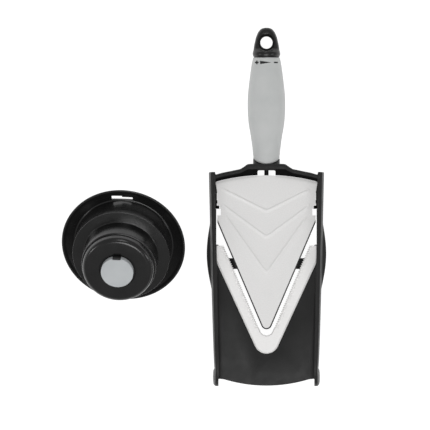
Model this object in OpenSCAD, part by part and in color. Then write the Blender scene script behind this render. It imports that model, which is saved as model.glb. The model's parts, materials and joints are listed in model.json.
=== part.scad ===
// V-blade mandoline slicer with an adjustable ramp, and its hat-shaped food pusher.
// The slicer lies face up, resting on its two feet and on the belly of its grip.
// Turning the loop knob turns the rod, whose nut pulls the ramp down its inclined guides.

/* [Slicer frame] */
// Overall length, from the tips of the feet to the end of the loop
overall_l = 390; // [388:1:392]
// Half the width across the rails at the crossbar
rail_half_w = 62.5; // [61.5:0.5:63.5]
// Half the width across the rails at the feet
foot_half_w = 56.5; // [56:0.5:57.5]
// How far the lower flange swells outwards beside the blade
bulge = 4.6; // [3:0.2:5]
// Half the clear width between the rails beside the ramp
ramp_bay_half_w = 54.6; // [54.4:0.1:55]
// Height of the top of the rails above the table
rail_top_z = 36; // [34:0.5:40]
// Height of the underside of the rails
rail_bottom_z = 9; // [8:0.5:10]
// Thickness of the outfeed plate
plate_t = 4; // [3.5:0.1:5]

/* [Blade and ramp] */
// Height of the blade's upper face
blade_z = 28; // [27.5:0.1:28.5]
// Thickness of the blade
blade_t = 1.2; // [1:0.1:1.4]
// Thickness of the strip under the blade
backing_t = 0.8; // [0.6:0.1:1]
// Half the angle of the V between the cutting edges
v_half_angle = 23.1; // [22.8:0.1:23.4]
// Spacing of the serrations along the cutting edge
tooth_pitch = 2.3; // [1.5:0.1:2.6]
// Depth of the serrations
tooth_depth = 1; // [0.4:0.1:1.2]
// Thickness of the ramp
ramp_t = 1.2; // [1:0.1:1.4]
// Drop of the ramp below the blade at the thinnest setting
thin_cut = 0.3; // [0.2:0.1:0.5]
// Drop of the ramp between the thinnest and the thickest setting
cut_range = 5; // [4:0.5:5]

/* [Handle] */
// Height of the rod's axis above the table
axis_z = 15.3; // [15.2:0.1:16]
// Largest half width of the grip
grip_half_w = 20.5; // [19:0.5:22]
// Radius of the adjusting rod
rod_r = 2.4; // [2.2:0.1:2.4]
// Radius of the hanging eye
eye_r = 6.6; // [6:0.1:7]

/* [Pusher] */
// Outer radius of the brim
brim_r = 67.5; // [66:0.5:69]
// Height of the crown above the brim
crown_h = 58.5; // [57.5:0.5:62]
// Wall thickness
wall = 2; // [1.8:0.1:2.2]
// Lean of the crown from upright
lean = 29.34; // [28:0.1:31]
// Radius of the plunger's button
button_r = 17.6; // [17.4:0.1:18]
// Travel of the plunger
plunger_travel = 35; // [20:1:35]

/* [Hidden] */
$fn = 64;
eps = 0.01;
big = 500;

// Gap of a fixed fit, running gap of a shaft in its bore, and the gap between other moving faces
fit_gap = 0.02;
run_gap = 0.05;
move_gap = 0.3;

// Stations along the slicer, measured from the tips of the feet
rail_end_y = 232;
rear_wall_t = 2.8;
bulge_y = [104.5, 178];
bulge_mid_y = 148;
plate_edge_y = 7.9;
blade_top_y = 152.9;
strut_y = [127.3, 139.1];
strut_t = 4;
window_x = [2.4, 9.7];
window_y = [229.2, 234.6];
neck_y = 248;
neck_r = 14.5;
neck_screw_y = 243.5;
grip_y = [241.4, 357.5];
seam_r = 20;
seam_z = axis_z - 4;
knob_y = 357.8;
pad_r = 8.8;
eye_y = 373.7;

// The blade and the ramp are V shapes, each given by where its straight sides would meet
inner_apex_y = 43.97;
inner_tip_r = 7.25;
outer_half_angle = 24.66;
outer_apex_y = 18.7;
outer_tip_r = 12.53;
ledge = 5.06;
rim_strip = 1;
ramp_apex_y = 56.2;
ramp_tip_r = 4.5;
skirt = 1.4;
plate_z = blade_z - plate_t;
backing_z = blade_z - blade_t - backing_t;
ramp_z = blade_z - thin_cut;
carrier_t = 1.7;
ramp_side = 53.5;
notch_y = [185.8, 192.8];
notch_x = 49.8;
ramp_top_y = 229.2;
ramp_top_r = 202;

// Guides: pegs on the carrier run down the inserts' grooves at 45 degrees
guide_y = [192.8, 223];
guide_x = [53.9, 57];
guide_z = [9.5, 21.3];
nub_x = 51.4;
nub_l = 3.6;
lip_x = 55.3;
peg_r = 1.8;
peg_z = 18.5;
peg_ys = [200.5, 212];

// Drive
thread_r = 2.9;
thread_pitch = 2.5;
thread_y = [201, 228];
nut_r = 4.2;
carriage_y = [206, 218];
carriage_half_w = 9.5;
pin_r = 1.5;
knob_pin_r = 1.25;
knob_pin_y = 361.2;
rod_end_y = 366.4;
clip_y = 235.45;
clip_t = 0.7;
clip_r = 1.8;
pin_z = 9.5;
pin_y = (carriage_y[0] + carriage_y[1]) / 2;
lug_t = 3;
core_r = 11;
core_bore_r = 7;

// Pusher profile: heights are above the brim's rim
foot_r = 50;
foot_h = -9.8;
base_r = 52.3;
base_h = -4.8;
brim_low = [66.4, -1.9];
tier1_r = 53;
tier1_h = 24.2;
tier2_r = 40.8;
tier2_h = 48;
cap_r = 38.9;
stem_r = 16;
bore_r = stem_r + 0.4;
button_seat_h = crown_h - 1.5;
button_top_h = crown_h + 5;
cap_fillet = 5;
key_w = 9;
key_turn = 102.17;
slot_r = 53.9;
slot_half_l = 11.5;
plate_r = 33;
spike_plate_h = [3, 6];
sleeve_h = spike_plate_h[1] + plunger_travel + 3;
spike_l = 8;

function flange_x(y) = rail_x(y) + (y < bulge_y[0] || y > bulge_y[1] ? 0 :
  bulge * sin(180 * (y - bulge_y[0]) / (bulge_y[1] - bulge_y[0])));
function rail_x(y) =
  foot_half_w + (rail_half_w - foot_half_w) * pow(max(y - 20, 0) / (rail_end_y - 20), 0.75);

// The pusher stands to the left of the slicer, and the origin is at the middle of the pair
pusher_x = -155.6;
pusher_y = 153.7;
pusher_turn = -12.17;
// The outer corner under the brim is the pusher's lowest point
rim_z = brim_low[0] * sin(lean) - brim_low[1] * cos(lean);
axis_x = sin(lean) * sin(pusher_turn);
left_x = pusher_x - brim_r * sqrt(1 - axis_x * axis_x);
right_x = flange_x(bulge_mid_y);
set_x = -(left_x + right_x) / 2;
set_y = -overall_l / 2;

module place() { translate([set_x, set_y, 0]) children(); }
module place_pusher() {
  translate([set_x + pusher_x, set_y + pusher_y, rim_z]) rotate([lean, 0, pusher_turn]) children();
}
module mirrored() {
  children();
  mirror([1, 0, 0]) children();
}
// Upright prism of a plan outline between two heights
module slab(z0, z1) { translate([0, 0, z0]) linear_extrude(z1 - z0) children(); }
// Cylinder along +Y on the rod's axis between two stations
module along(r, y0, y1) { translate([0, y0, axis_z]) rotate([-90, 0, 0]) cylinder(r = r, h = y1 - y0); }
module across(r, x0, x1, y, z) { translate([x0, y, z]) rotate([0, 90, 0]) cylinder(r = r, h = x1 - x0); }
// Solid of revolution about the rod's axis, from [radius, station] points
module turned(points) {
  translate([0, 0, axis_z]) rotate([-90, 0, 0]) rotate_extrude($fn = 96) polygon(points);
}

// Plan outline of a V with a round tip: sides at half_angle meet at apex_y, open end at top_y
module v_plan(half_angle, apex_y, tip_r, top_y) {
  centre_y = apex_y + tip_r / sin(half_angle);
  half_w = (top_y - apex_y) * tan(half_angle);
  arc = [for (t = [0 : 14]) -half_angle - t * (180 - 2 * half_angle) / 14];
  polygon(concat([[half_w, top_y]],
    [for (a = arc) [tip_r * cos(a), centre_y + tip_r * sin(a)]],
    [[-half_w, top_y]]));
}
// The same V grown outwards by a distance
module v_grown(half_angle, apex_y, tip_r, top_y, grow) {
  v_plan(half_angle, apex_y - grow / sin(half_angle), tip_r + grow, top_y);
}
// Outline of a slot of half width r from a point to another
module stadium(r, from, to) {
  d = to - from;
  turn = atan2(d[1], d[0]);
  polygon([for (i = [0 : 23]) let (a = turn + 90 + 180 * (i % 12) / 11 + (i < 12 ? 0 : 180),
    p = i < 12 ? from : to) p + r * [cos(a), sin(a)]]);
}
// Prism across the slicer, from an outline drawn in station and height
module cut_across(x0, x1) { translate([x0, 0, 0]) rotate([90, 0, 90]) linear_extrude(x1 - x0) children(); }
module band(y0, y1, half_w) { translate([-half_w, y0]) square([2 * half_w, y1 - y0]); }

// ---- frame ----
module rail_plan(lower) {
  ys = [for (i = [0 : 24]) 20 + i * (rail_end_y - 21) / 24];
  polygon(concat(
    [[51.6, 0.5], [52.3, 0], [55.9, 0], [foot_half_w, 1]],
    [for (y = ys) [lower ? flange_x(y) : rail_x(y), y]],
    [[guide_x[1], rail_end_y], [guide_x[1], guide_y[0]], [ramp_bay_half_w, guide_y[0]],
     [ramp_bay_half_w, 150], [53.4, 120], [51, plate_edge_y]]));
}
module rail_side() {
  polygon([[0, 3], [3, 0], [16, 0], [30, rail_bottom_z], [rail_end_y, rail_bottom_z],
    [rail_end_y, rail_top_z], [24, rail_top_z], [6, rail_top_z - 5], [0, rail_top_z - 12]]);
}
module rails() {
  intersection() {
    union() {
      slab(0, 20) rail_plan(true);
      slab(20 - eps, rail_top_z) rail_plan(false);
    }
    rotate([90, 0, 90]) linear_extrude(big) rail_side();
  }
}
module outfeed_plan() {
  edge_r = 157.8;
  difference() {
    union() {
      band(plate_edge_y, 151, ramp_bay_half_w + 0.4);
      intersection() {
        translate([0, 0.5 + edge_r]) circle(r = edge_r, $fn = 180);
        band(0, plate_edge_y + 1, 46);
      }
    }
    v_grown(v_half_angle, inner_apex_y, inner_tip_r, blade_top_y + 1, ledge);
  }
}
module crossbar_plan() {
  polygon(concat(
    [[-60, 229.6], [-60, 222.5]],
    [for (x = [-54 : 6 : 54]) [x, 229.6 - x * x / 420]],
    [[60, 222.5], [60, 229.6]],
    [for (s = [1, -1]) each [for (i = [0 : 5]) let (p = bar_edge[s > 0 ? i : 5 - i]) [s * p[0], p[1]]]]));
}
// Rear edge of the crossbar, from the rail to the neck
bar_edge = [[55.8, 229.8], [48.5, 232], [27.7, 236.2], [24.9, 238.3], [20.5, 241.7], [14.4, 241.8]];
// Wall under the rear edge of the crossbar
module rear_wall_plan() {
  right = [[55.8, 229.4], [48.5, 232], [27.7, 236.2], [20, 238.8]];
  left = [for (i = [3 : -1 : 0]) [-right[i][0], right[i][1]]];
  difference() {
    crossbar_plan();
    translate([0, -rear_wall_t])
      polygon(concat([[-70, 0], [70, 0], [70, 227.2]], right, left, [[-70, 227.2]]));
  }
}
module blade_screw_spots() {
  for (y = [72, 106, 140])
    mirrored() translate([((y - inner_apex_y) * tan(v_half_angle) + ledge
      + (y - outer_apex_y) * tan(outer_half_angle)) / 2 + 0.4, y, 0]) children();
}
module neck_screw_spots() { mirrored() translate([6, neck_screw_y, 0]) children(); }
module frame() {
  color([0.17, 0.17, 0.18]) place() difference() {
    union() {
      mirrored() rails();
      slab(plate_z, blade_z) outfeed_plan();
      // Stiffening ribs under the outfeed plate
      for (y = [14, 30]) translate([-52, y, plate_z - 6]) cube([104, 2, 6 + eps]);
      mirrored() translate([24, 14, plate_z - 6]) cube([2, 16, 6 + eps]);
      // Cross strut under the ramp
      translate([-55, strut_y[0], rail_bottom_z]) cube([110, strut_y[1] - strut_y[0], strut_t]);
      // Lips over the edges of the ramp keep it from lifting out
      mirrored() translate([lip_x, guide_y[0], blade_z + 1])
        cube([guide_x[1] - lip_x + 1, rail_end_y - 1 - guide_y[0], rail_top_z - blade_z - 1.7]);
      slab(blade_z + 0.2, rail_top_z) crossbar_plan();
      slab(rail_bottom_z, blade_z + 0.3) rear_wall_plan();
      along(neck_r, 237.2, neck_y);
      mirrored() translate([56, rail_end_y - 6, rail_bottom_z])
        cube([5.8, 7, rail_top_z - rail_bottom_z]);
    }
    // Recess for the blade and the strip under it
    slab(backing_z, big) intersection() {
      v_grown(outer_half_angle, outer_apex_y, outer_tip_r, blade_top_y + 1, rim_strip + 0.1);
      band(0, blade_top_y + 0.4, ramp_bay_half_w + 0.01);
    }
    // Windows either side of the rod
    mirrored() translate([window_x[0], window_y[0] - 6, 0])
      cube([window_x[1] - window_x[0], window_y[1] - window_y[0] + 6, big]);
    // The rod passes under the bar between the windows
    translate([-window_x[0] - eps, 220, 0]) cube([2 * window_x[0] + 2 * eps, window_y[1] - 220, big]);
    // The grip's tongue lies in a bowed seat on top of the neck
    translate([0, grip_y[0] + seam_r, seam_z]) cylinder(r = seam_r, h = big, $fn = 128);
    along(core_r + run_gap, 240, neck_y + 1);
    along(5.5, 230, 241);
    blade_screw_spots() translate([0, 0, plate_z - 1]) cylinder(r = 1.3, h = 6);
    neck_screw_spots() translate([0, 0, -1]) {
      cylinder(r = 1.6, h = 12);
      cylinder(r = 3.1, h = 5.5);
    }
  }
}
module foot_pad_right() { color([0.5, 0.5, 0.5]) place() foot_pad_shape(); }
module foot_pad_left() { color([0.5, 0.5, 0.5]) place() mirror([1, 0, 0]) foot_pad_shape(); }
// Domed rubber button on the outside of the foot
module foot_pad_shape() {
  dome = [for (i = [0 : 8]) [pad_r * (1 - i / 8), 0.5 + 1.35 * sqrt(1 - pow(1 - i / 8, 2))]];
  translate([foot_half_w, 9.8, pad_r]) rotate([0, 90, 0])
    rotate_extrude($fn = 64) polygon(concat([[0, 0], [pad_r, 0]], dome));
}

// ---- blade ----
function tooth_line(n) = [for (i = [0 : 2 * n]) let (
  s = i * tooth_pitch / 2, y = 152.3 - s * cos(v_half_angle),
  off = i % 2 == 0 ? 0 : tooth_depth)
  [(y - inner_apex_y) * tan(v_half_angle) + off / cos(v_half_angle), y]];
module v_blade() {
  n = floor((152.3 - 61) / cos(v_half_angle) / tooth_pitch);
  teeth = tooth_line(n);
  tip = [for (t = [0 : 12]) let (a = -v_half_angle - t * (180 - 2 * v_half_angle) / 12)
    [inner_tip_r * cos(a), inner_apex_y + inner_tip_r / sin(v_half_angle) + inner_tip_r * sin(a)]];
  color([0.89, 0.89, 0.88]) place() slab(blade_z - blade_t, blade_z) difference() {
    intersection() {
      v_plan(outer_half_angle, outer_apex_y, outer_tip_r, blade_top_y);
      band(0, blade_top_y, ramp_bay_half_w - 0.2);
    }
    polygon(concat([[46.6, blade_top_y + 1]], teeth, tip,
      [for (i = [len(teeth) - 1 : -1 : 0]) [-teeth[i][0], teeth[i][1]]], [[-46.6, blade_top_y + 1]]));
  }
}
module blade_backing() {
  color([0.8, 0.8, 0.8]) place() difference() {
    slab(backing_z, backing_z + backing_t) difference() {
      intersection() {
        v_grown(outer_half_angle, outer_apex_y, outer_tip_r, blade_top_y - 1, rim_strip);
        band(0, blade_top_y - 1, ramp_bay_half_w - 0.1);
      }
      v_grown(v_half_angle, inner_apex_y, inner_tip_r, blade_top_y + 1, ledge);
    }
    blade_screw_spots() translate([0, 0, backing_z - 1]) cylinder(r = 1.3, h = 3);
  }
}
module blade_screws() {
  color([0.7, 0.7, 0.7]) place() blade_screw_spots() {
    translate([0, 0, plate_z - 1.6]) cylinder(r = 2.4, h = 1.6);
    translate([0, 0, plate_z - eps]) cylinder(r = 1.25, h = backing_z + backing_t - plate_z + eps);
  }
}

// ---- ramp ----
module ramp_plan(side, grow, flare) {
  difference() {
    intersection() {
      v_grown(v_half_angle, ramp_apex_y, ramp_tip_r, 240, grow);
      union() {
        band(0, ramp_top_y + 1, side);
        if (flare) polygon([[-55.6, 222.6], [-side, 210], [side, 210], [55.6, 222.6],
          [55.6, ramp_top_y], [-55.6, ramp_top_y]]);
      }
      translate([0, ramp_top_y - ramp_top_r]) circle(r = ramp_top_r, $fn = 240);
    }
    mirrored() notch_plan(0);
  }
}
// Notch in each side of the ramp, with a shallower step that clears the guide's nub
module notch_plan(gap) {
  translate([notch_x - gap, notch_y[0] - gap]) square([10, notch_y[1] - notch_y[0] + 2 * gap]);
  translate([nub_x - move_gap - gap, notch_y[1] - eps]) square([10, nub_l + move_gap + gap]);
}
// Raised chevron between a vertex and its two ends
module chevron(end_x, end_y, vertex_y) {
  w = 1.6;
  polygon([[-end_x, end_y + w], [0, vertex_y + w], [end_x, end_y + w],
    [end_x, end_y - w], [0, vertex_y - w], [-end_x, end_y - w]]);
}
module ramp_plate() {
  color([0.84, 0.83, 0.82]) place() union() {
    slab(ramp_z - ramp_t, ramp_z) ramp_plan(ramp_side, 0, true);
    slab(ramp_z - eps, ramp_z + 0.5) {
      chevron(47.5, 214.5, 190.5);
      chevron(48.5, 198, 162);
      chevron(44.6, 185.5, 122.5);
    }
  }
}
module ramp_carrier() {
  top = ramp_z - ramp_t;
  color([0.12, 0.12, 0.13]) place() difference() {
    union() {
      slab(top - carrier_t, top) ramp_plan(ramp_side - 0.1, skirt, false);
      // Stiffening ribs along the V
      slab(top - 6, top - carrier_t + eps) difference() {
        v_grown(v_half_angle, ramp_apex_y, ramp_tip_r - 1, 172, -2);
        v_grown(v_half_angle, ramp_apex_y, ramp_tip_r, 181, -4.2);
      }
      // Side cheeks, which carry the pegs
      mirrored() translate([50.4, 197.2, peg_z - 3]) cube([3, 20, top - carrier_t - peg_z + 3 + eps]);
      mirrored() for (y = peg_ys) across(peg_r, 52, 56.6, y, peg_z);
      // Lugs with upright slots for the carriage pin
      mirrored() translate([carriage_half_w + 0.5, pin_y - 5, pin_z - 3.4])
        cube([lug_t, 10, top - carrier_t - pin_z + 3.4 + eps]);
    }
    mirrored() slab(0, big) notch_plan(0.4);
    // Room over the nut carriage
    translate([-carriage_half_w - 0.5, 203, top - carrier_t - 1])
      cube([2 * carriage_half_w + 1, 23, carrier_t + 2]);
    mirrored() cut_across(carriage_half_w - 1, carriage_half_w + lug_t + 2)
      stadium(pin_r + move_gap, [pin_y, pin_z], [pin_y, pin_z + cut_range]);
  }
}
module guide_insert() {
  groove_r = peg_r + move_gap;
  difference() {
    union() {
      translate([guide_x[0], guide_y[0], guide_z[0]])
        cube([guide_x[1] - guide_x[0], guide_y[1] - guide_y[0], guide_z[1] - guide_z[0]]);
      translate([nub_x, guide_y[0], guide_z[0]])
        cube([guide_x[1] - nub_x, nub_l, guide_z[1] - guide_z[0]]);
    }
    for (y = peg_ys) cut_across(53, 58)
      stadium(groove_r, [y, peg_z], [y + cut_range, peg_z - cut_range]);
  }
}
module guide_insert_right() { color([0.05, 0.05, 0.05]) place() guide_insert(); }
module guide_insert_left() { color([0.05, 0.05, 0.05]) place() mirror([1, 0, 0]) guide_insert(); }

// ---- handle ----
grip_profile = [[14.3, 250], [15.6, 261.5], [17.0, 272.7], [19.2, 284], [20.2, 295], [grip_half_w, 306],
  [20.1, 318], [18.8, 330.3], [16.2, 349.8], [14.8, 356.5]];
module grip_sleeve() {
  color([0.77, 0.78, 0.78]) place() difference() {
    intersection() {
      turned(concat([[0, grip_y[0]], [14.2, grip_y[0]]], grip_profile, [[14, grip_y[1]], [0, grip_y[1]]]));
      // Rounded off above and below, so that the belly rests on the table
      slab(0, 2 * axis_z) band(200, 400, 30);
      union() {
        translate([0, grip_y[0] + seam_r, seam_z + run_gap])
          cylinder(r = seam_r - run_gap, h = big, $fn = 128);
        slab(0, big) band(neck_y + run_gap, big, grip_half_w + 1);
      }
    }
    along(core_r + run_gap, 230, 370);
  }
}
module handle_core() {
  color([0.1, 0.1, 0.1]) place() difference() {
    along(core_r, 240.05, 357.2);
    along(core_bore_r, 245, 350);
    along(4.5, 230, 246);
    along(5.5, 349, 370);
    neck_screw_spots() cylinder(r = 1.3, h = 11);
  }
}
module neck_screws() {
  color([0.7, 0.7, 0.7]) place() neck_screw_spots() {
    translate([0, 0, 2.6]) cylinder(r = 2.8, h = 1.9);
    translate([0, 0, 4.4]) cylinder(r = 1.25, h = 5.6);
  }
}
module front_bush() {
  color([0.85, 0.85, 0.8]) place() difference() {
    along(5.5, 236.6, 240);
    along(rod_r + run_gap, 230, 245);
  }
}
module rear_bush() {
  color([0.85, 0.85, 0.8]) place() difference() {
    along(5.5, 350.05, 357.2);
    along(rod_r + run_gap, 345, 360);
    along(4.5, 345, 353);
  }
}

// ---- spindle ----
module loop_knob() {
  eye_half_t = 8;
  color([0.09, 0.09, 0.09]) place() difference() {
    intersection() {
      turned([[0, knob_y], [12.6, knob_y], [14.3, 358.9], [15, 361], [15, 362.5], [14.2, 365.6],
        [13.7, 369], [13.2, 372], [12.5, 375], [11.6, 379], [10.5, 382], [9.1, 385], [6.1, 388.5],
        [3.2, overall_l - 0.3], [0, overall_l]]);
      union() {
        translate([-30, 340, 0]) cube([60, 24, 40]);
        translate([-30, 340, axis_z - eye_half_t]) cube([60, 60, 2 * eye_half_t]);
      }
    }
    translate([0, eye_y, 0]) cylinder(r = eye_r, h = 40);
    for (s = [0, 1]) translate([0, eye_y, axis_z]) mirror([0, 0, s]) translate([0, 0, 4])
      cylinder(r1 = eye_r, r2 = eye_r + 3, h = 4.1);
    along(rod_r + fit_gap, 350, rod_end_y);
    across(knob_pin_r + fit_gap, -20, 20, knob_pin_y, axis_z);
  }
}
module adjust_rod() {
  color([0.15, 0.15, 0.16]) place() difference() {
    union() {
      along(rod_r, thread_y[0], rod_end_y - fit_gap);
      for (y = [thread_y[0] + 1 : thread_pitch / 2 : thread_y[1] - 1]) turned(
        [[rod_r - 0.5, y], [rod_r, y], [thread_r, y + 0.35], [rod_r, y + 0.7], [rod_r - 0.5, y + 0.7]]);
    }
    across(knob_pin_r + fit_gap, -20, 20, knob_pin_y, axis_z);
    difference() {
      along(3, clip_y - 0.05, clip_y + clip_t + 0.05);
      along(clip_r, clip_y - 1, clip_y + clip_t + 1);
    }
  }
}
module knob_pin() {
  color([0.75, 0.75, 0.75]) place() across(knob_pin_r, -12.5, 12.5, knob_pin_y, axis_z);
}
module rod_clip() {
  color([0.6, 0.6, 0.6]) place() difference() {
    along(4.6, clip_y, clip_y + clip_t);
    along(clip_r, clip_y - 1, clip_y + clip_t + 1);
    translate([-1.5, clip_y - 1, 0]) cube([3, clip_t + 2, axis_z]);
  }
}
module friction_ring() {
  color([0.05, 0.05, 0.05]) place() translate([0, 351.4, axis_z]) rotate([-90, 0, 0])
    rotate_extrude() translate([rod_r + 1, 0]) circle(r = 1, $fn = 32);
}

// ---- nut ----
module drive_nut() {
  color([0.8, 0.65, 0.3]) place() difference() {
    along(nut_r - run_gap, carriage_y[0] + 2, carriage_y[1] - 2);
    along(thread_r + run_gap, 190, 230);
  }
}
module nut_carriage() {
  color([0.2, 0.2, 0.2]) place() difference() {
    translate([-carriage_half_w, carriage_y[0], pin_z - 3])
      cube([2 * carriage_half_w, carriage_y[1] - carriage_y[0], 14]);
    along(nut_r, carriage_y[0] + 2, carriage_y[1] - 2);
    along(thread_r + move_gap, 190, 230);
    across(pin_r, -20, 20, pin_y, pin_z);
  }
}
module carriage_pin() {
  reach = carriage_half_w + 0.5 + lug_t + 0.4;
  color([0.75, 0.75, 0.75]) place() across(pin_r, -reach, reach, pin_y, pin_z);
}

// ---- pusher ----
module pusher_body() {
  color([0.1, 0.1, 0.1]) place_pusher() difference() {
    rotate_extrude($fn = 128) polygon([
      [foot_r - wall, foot_h], [foot_r, foot_h], [foot_r, base_h - wall], [base_r, base_h - wall],
      [63, -1.2 - wall], brim_low, [brim_r - 0.2, -1], [brim_r, 0], [brim_r - 0.5, 0.6], [65.6, 0.7],
      [63, -0.9], [base_r, base_h], [tier1_r, tier1_h - 1], [tier1_r - 1, tier1_h],
      [tier2_r + 0.8, tier1_h], [tier2_r, tier1_h + 0.8], [tier2_r - 0.3, tier2_h],
      [cap_r - wall, tier2_h], [cap_r - wall, tier2_h + 4], [cap_r - 2 * wall, tier2_h + 4],
      [cap_r - 2 * wall, tier2_h - 3], [tier2_r - wall - 0.3, tier2_h - 6],
      [tier2_r - wall, tier1_h - wall], [tier1_r - wall - 1, tier1_h - wall], [foot_r - wall, base_h - 2]]);
    // Hanging slot in the brim, wider on its left half
    rotate([0, 0, key_turn]) {
      translate([slot_r, -slot_half_l, -20]) cube([3.8, 2 * slot_half_l, 30]);
      translate([slot_r, -eps, -20]) cube([5.4, slot_half_l, 30]);
    }
  }
}
module crown_cap() {
  inner_r = cap_r - wall;
  top = crown_h;
  color([0.12, 0.12, 0.12]) place_pusher() difference() {
    rotate_extrude($fn = 128) polygon([
      [inner_r + 0.05, tier2_h + 0.05], [cap_r, tier2_h + 0.05],
      each [for (a = [0 : 15 : 90])
        [cap_r - 0.3 - cap_fillet * (1 - cos(a)), top - cap_fillet * (1 - sin(a))]],
      [button_r + 2.2, top], [button_r + 1.9, button_seat_h],
      [bore_r, button_seat_h], [bore_r, sleeve_h], [bore_r + wall, sleeve_h],
      [bore_r + wall, top - wall - 2], [inner_r - 3, top - wall - 2], [inner_r + 0.05, top - wall - 4]]);
    // Keyway for the stem
    rotate([0, 0, key_turn]) translate([0, -key_w / 2 - 0.3, sleeve_h - 1])
      cube([stem_r + 2.8, key_w + 0.6, 30]);
  }
}
module plunger_button() {
  color([0.7, 0.72, 0.72]) place_pusher() difference() {
    rotate_extrude($fn = 96) polygon([[0, button_seat_h + 0.1], [button_r, button_seat_h + 0.1],
      [button_r, button_top_h - 0.7], [button_r - 0.7, button_top_h], [0, button_top_h]]);
    rotate([0, 0, key_turn]) translate([stem_r - 1, -key_w / 2 - run_gap, tier2_h])
      cube([10, key_w + 2 * run_gap, big]);
  }
}
module plunger_stem() {
  color([0.08, 0.08, 0.08]) place_pusher() difference() {
    union() {
      rotate_extrude($fn = 96) polygon([[0, spike_plate_h[1]], [stem_r, spike_plate_h[1]],
        [stem_r, button_seat_h], [stem_r - 2, button_seat_h], [stem_r - 2, 10], [0, 10]]);
      rotate([0, 0, key_turn]) translate([stem_r - 1, -key_w / 2, 12])
        cube([3.4, key_w, button_top_h - 13]);
    }
    cylinder(r = 2, h = 12);
  }
}
module spike_plate() {
  color([0.1, 0.1, 0.1]) place_pusher() difference() {
    translate([0, 0, spike_plate_h[0]])
      cylinder(r = plate_r, h = spike_plate_h[1] - spike_plate_h[0], $fn = 96);
    translate([0, 0, -1]) cylinder(r = 2.2, h = 10);
    for (a = [0 : 60 : 300]) rotate(a + 30) translate([24, 0, 0]) cylinder(r = 4, h = 10);
  }
}
module spikes() {
  color([0.85, 0.85, 0.85]) place_pusher() {
    for (a = [0 : 60 : 300]) {
      rotate(a) translate([12, 0, 0]) spike();
      rotate(a) translate([22, 0, 0]) spike();
      rotate(a + 30) translate([30, 0, 0]) spike();
    }
  }
}
module spike() {
  base = spike_plate_h[0];
  translate([0, 0, base - spike_l + 2]) cylinder(r = 1, h = spike_l - 2, $fn = 24);
  translate([0, 0, base - spike_l]) cylinder(r1 = 0.2, r2 = 1, h = 2, $fn = 24);
}
module plunger_screw() {
  color([0.7, 0.7, 0.7]) place_pusher() {
    translate([0, 0, spike_plate_h[0] - 2]) cylinder(r = 4, h = 2);
    translate([0, 0, spike_plate_h[0] - eps]) cylinder(r = 1.95, h = 6);
  }
}

frame();
foot_pad_left();
foot_pad_right();
v_blade();
blade_backing();
blade_screws();
ramp_plate();
ramp_carrier();
guide_insert_left();
guide_insert_right();
grip_sleeve();
handle_core();
neck_screws();
front_bush();
rear_bush();
loop_knob();
adjust_rod();
knob_pin();
rod_clip();
friction_ring();
drive_nut();
nut_carriage();
carriage_pin();
pusher_body();
crown_cap();
plunger_button();
plunger_stem();
spike_plate();
spikes();
plunger_screw();
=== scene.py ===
"""Looks of the V-blade mandoline slicer and its stepped pusher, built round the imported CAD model.

Sizes are in millimetres in the builders below, and the SLICER and PUSHER matrices place them in the
shared frame.
Slicer builders use x from the centreline, y from the tips of the feet and z from the table.
Pusher builders use x and y from the pusher's axis and h along it, from the rim of the brim.
"""
import json
import math

import bmesh
import bpy
from mathutils import Matrix, Vector


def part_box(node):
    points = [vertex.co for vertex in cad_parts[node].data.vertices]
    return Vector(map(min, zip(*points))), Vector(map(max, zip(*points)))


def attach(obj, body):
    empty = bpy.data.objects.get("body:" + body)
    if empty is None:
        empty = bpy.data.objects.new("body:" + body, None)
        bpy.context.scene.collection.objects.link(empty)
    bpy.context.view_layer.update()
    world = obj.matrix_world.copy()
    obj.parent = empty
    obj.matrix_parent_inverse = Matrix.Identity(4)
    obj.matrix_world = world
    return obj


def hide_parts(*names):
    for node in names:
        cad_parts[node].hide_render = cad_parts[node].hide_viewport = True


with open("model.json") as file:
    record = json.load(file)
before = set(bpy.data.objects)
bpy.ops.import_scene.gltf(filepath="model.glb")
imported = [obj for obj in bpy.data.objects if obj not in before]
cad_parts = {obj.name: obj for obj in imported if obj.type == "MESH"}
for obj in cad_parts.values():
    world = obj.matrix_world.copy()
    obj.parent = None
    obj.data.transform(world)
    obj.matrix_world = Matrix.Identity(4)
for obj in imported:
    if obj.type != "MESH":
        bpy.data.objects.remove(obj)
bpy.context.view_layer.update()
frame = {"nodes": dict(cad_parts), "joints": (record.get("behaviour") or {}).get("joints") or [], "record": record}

MM = 0.001
TAU = 2 * math.pi

# ---------------------------------------------------------------- places, from the frame
frame_lo, frame_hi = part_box("frame")
knob_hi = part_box("loop_knob")[1]
rod_lo, rod_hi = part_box("adjust_rod")
SLICER = Matrix.Translation(((frame_lo.x + frame_hi.x) / 2, frame_lo.y, 0)) @ Matrix.Scale(MM, 4)
LENGTH = (knob_hi.y - frame_lo.y) / MM
AXIS_Z = (rod_lo.z + rod_hi.z) / 2 / MM

# Height of the middle of the spike plate above the rim of the brim
PLATE_MID_H = 4.5
plunger_axis = Vector(next(j["axis"] for j in frame["joints"] if j["name"] == "plunger_slide"))
plate_lo, plate_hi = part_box("spike_plate")
PUSHER = (Matrix.Translation((plate_lo + plate_hi) / 2 - plunger_axis * PLATE_MID_H * MM)
          @ Matrix.Rotation(math.atan2(plunger_axis.x, -plunger_axis.y), 4, "Z")
          @ Matrix.Rotation(math.acos(plunger_axis.z), 4, "X") @ Matrix.Scale(MM, 4))

# ---------------------------------------------------------------- materials


STREAK_DEPTH = 0.00002


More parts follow.
